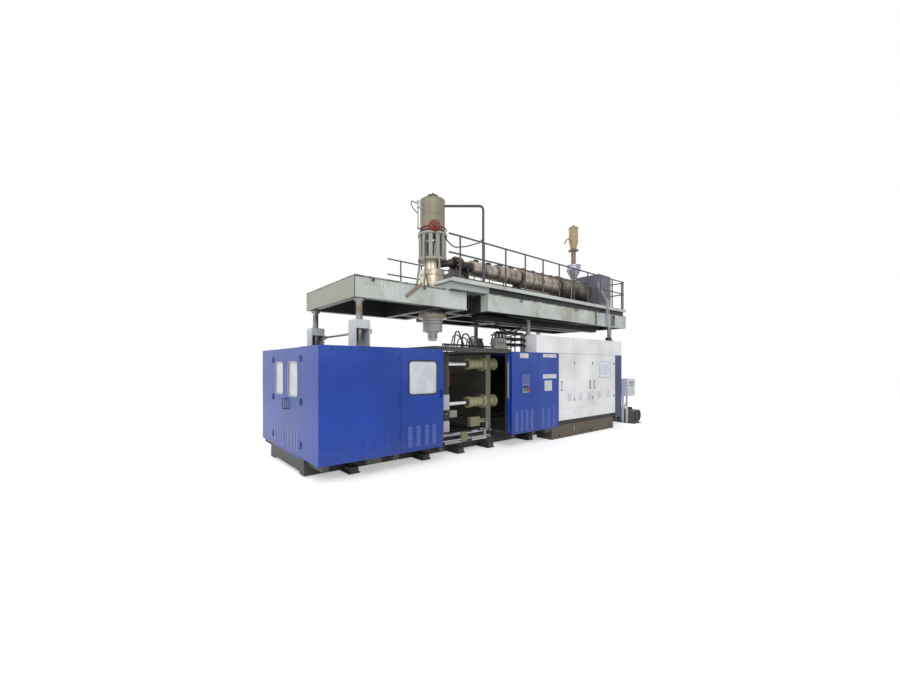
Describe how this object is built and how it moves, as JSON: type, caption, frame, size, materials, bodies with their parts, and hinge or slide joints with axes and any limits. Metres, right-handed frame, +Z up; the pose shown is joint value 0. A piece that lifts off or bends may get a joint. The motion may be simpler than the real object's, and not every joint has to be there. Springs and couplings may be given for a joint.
{
  "type": "blow moulding machine",
  "caption": "Large accumulator blow moulding machine: raised extruder platform over sliding mould platens, covered clamp and control cabinet, hinged doors and a sliding safety gate",
  "frame": {"origin": "on the floor, centre of the overall footprint of the machine and its side units", "axes": "+X along the machine from the clamp end to the control station, +Y from the operator side to the back, +Z up"},
  "size_m": [10.172, 3.12, 6.01],
  "materials": {
    "blue_paint": "satin",
    "white_paint": "satin",
    "platform_paint": "satin",
    "dark_paint": "satin",
    "black_paint": "satin",
    "olive_paint": "satin",
    "brown_paint": "satin",
    "machine_grey": "satin",
    "head_beige": "satin",
    "valve_red": "satin",
    "loader_beige": "satin",
    "band_metal": "brushed",
    "steel": "brushed",
    "chrome": "polished",
    "dark_steel": "rough",
    "clear_window": "smooth",
    "screen_plastic": "matte",
    "panel_plastic": "matte",
    "red_plastic": "gloss",
    "green_plastic": "gloss",
    "hose_rubber": "matte"
  },
  "bodies": {
    "base": {"base_frame": "dark_paint", "left_cover": "blue_paint", "right_cover": "blue_paint", "operator_panel": "panel_plastic", "cabinet_shell": "white_paint", "cable_duct": "white_paint", "oil_tank": "brown_paint", "lifting_columns": "platform_paint", "clamp_portal": "platform_paint", "guide_rails": "steel", "traverse_cylinder": "olive_paint", "sync_housing": "dark_steel", "valve_manifold": "machine_grey", "pipe_rack": "black_paint", "control_station": "white_paint", "blower_unit": "dark_paint"},
    "end_door_front": {"end_door_front": "blue_paint", "end_door_front_window": "clear_window"},
    "end_door_rear": {"end_door_rear": "blue_paint", "end_door_rear_window": "clear_window"},
    "front_door": {"front_door": "blue_paint", "front_door_window": "clear_window"},
    "cabinet_door_left": {"cabinet_door_left": "white_paint"},
    "cabinet_door_middle": {"cabinet_door_middle": "white_paint"},
    "cabinet_door_right": {"cabinet_door_right": "white_paint", "operator_screen": "screen_plastic"},
    "safety_gate": {"safety_gate": "blue_paint", "safety_gate_window": "clear_window"},
    "left_platen": {"left_platen": "machine_grey", "tie_rods": "chrome", "left_rack": "steel"},
    "right_platen": {"right_platen": "machine_grey", "lock_cylinders": "olive_paint", "right_rack": "steel"},
    "sync_pinion": {"sync_pinion": "steel"},
    "platform": {"head_frame": "platform_paint", "extruder_frame": "platform_paint", "walkways": "platform_paint", "guard_rails": "black_paint", "extruder_base": "dark_paint", "extruder_barrel": "steel", "heater_bands": "band_metal", "drive_unit": "platform_paint", "hopper": "steel", "vacuum_loader": "loader_beige", "accumulator_head": "head_beige", "die_head": "dark_steel", "lantern_cage": "machine_grey", "injection_cylinder": "head_beige", "red_valve": "valve_red", "head_pipe": "black_paint", "lift_screws": "steel", "drop_hoses": "hose_rubber"},
    "jack_shaft": {"jack_shaft": "steel"},
    "push_plate": {"push_plate": "steel"},
    "extruder_screw": {"extruder_screw": "steel"},
    "stop_button": {"stop_button": "red_plastic"},
    "start_button": {"start_button": "green_plastic"}
  },
  "joints": [
    {"name": "end_door_front_hinge", "type": "hinge", "parent": "base", "child": "end_door_front", "pos_m": [-5.075, -0.765, 1.2], "axis": [0, 0, 1], "range_deg": [0, 110]},
    {"name": "end_door_rear_hinge", "type": "hinge", "parent": "base", "child": "end_door_rear", "pos_m": [-5.075, 0.765, 1.2], "axis": [0, 0, -1], "range_deg": [0, 110]},
    {"name": "front_door_hinge", "type": "hinge", "parent": "base", "child": "front_door", "pos_m": [-3.68, -1.54, 1.2], "axis": [0, 0, -1], "range_deg": [0, 100]},
    {"name": "cabinet_door_left_hinge", "type": "hinge", "parent": "base", "child": "cabinet_door_left", "pos_m": [1.457, -1.54, 1.2], "axis": [0, 0, 1], "range_deg": [0, 90]},
    {"name": "cabinet_door_middle_hinge", "type": "hinge", "parent": "base", "child": "cabinet_door_middle", "pos_m": [1.483, -1.54, 1.2], "axis": [0, 0, -1], "range_deg": [0, 90]},
    {"name": "cabinet_door_right_hinge", "type": "hinge", "parent": "base", "child": "cabinet_door_right", "pos_m": [3.437, -1.54, 1.2], "axis": [0, 0, 1], "range_deg": [0, 90]},
    {"name": "safety_gate_slide", "type": "slide", "parent": "base", "child": "safety_gate", "axis": [-1, 0, 0], "range_m": [0, 1.74]},
    {"name": "left_platen_slide", "type": "slide", "parent": "base", "child": "left_platen", "axis": [1, 0, 0], "range_m": [0, 0.25]},
    {"name": "right_platen_slide", "type": "slide", "parent": "base", "child": "right_platen", "axis": [-1, 0, 0], "range_m": [0, 0.25]},
    {"name": "sync_pinion_spin", "type": "hinge", "parent": "base", "child": "sync_pinion", "pos_m": [-1.855, -1.1625, 0.32], "axis": [0, 1, 0], "range_deg": [0, 260]},
    {"name": "platform_lift", "type": "slide", "parent": "base", "child": "platform", "axis": [0, 0, 1], "range_m": [0, 0.15]},
    {"name": "jack_shaft_spin", "type": "hinge", "parent": "base", "child": "jack_shaft", "pos_m": [-3.985, 0, 2.35], "axis": [0, 1, 0], "range_deg": [0, 2750]},
    {"name": "push_plate_slide", "type": "slide", "parent": "platform", "child": "push_plate", "axis": [0, 0, -1], "range_m": [0, 0.3]},
    {"name": "extruder_screw_spin", "type": "hinge", "parent": "platform", "child": "extruder_screw", "pos_m": [-0.065, -0.4, 4.04], "axis": [1, 0, 0], "continuous": true},
    {"name": "stop_button_press", "type": "slide", "parent": "base", "child": "stop_button", "axis": [0, 1, 0], "range_m": [0, 0.006], "stiffness_N_per_m": 900},
    {"name": "start_button_press", "type": "slide", "parent": "base", "child": "start_button", "axis": [0, 1, 0], "range_m": [0, 0.006], "stiffness_N_per_m": 600}
  ],
  "couplings": [
    {"joint": "right_platen_slide", "follows": "left_platen_slide", "ratio": 1},
    {"joint": "sync_pinion_spin", "follows": "left_platen_slide", "rad_per_m": 17.857},
    {"joint": "jack_shaft_spin", "follows": "platform_lift", "rad_per_m": 314.16}
  ]
}
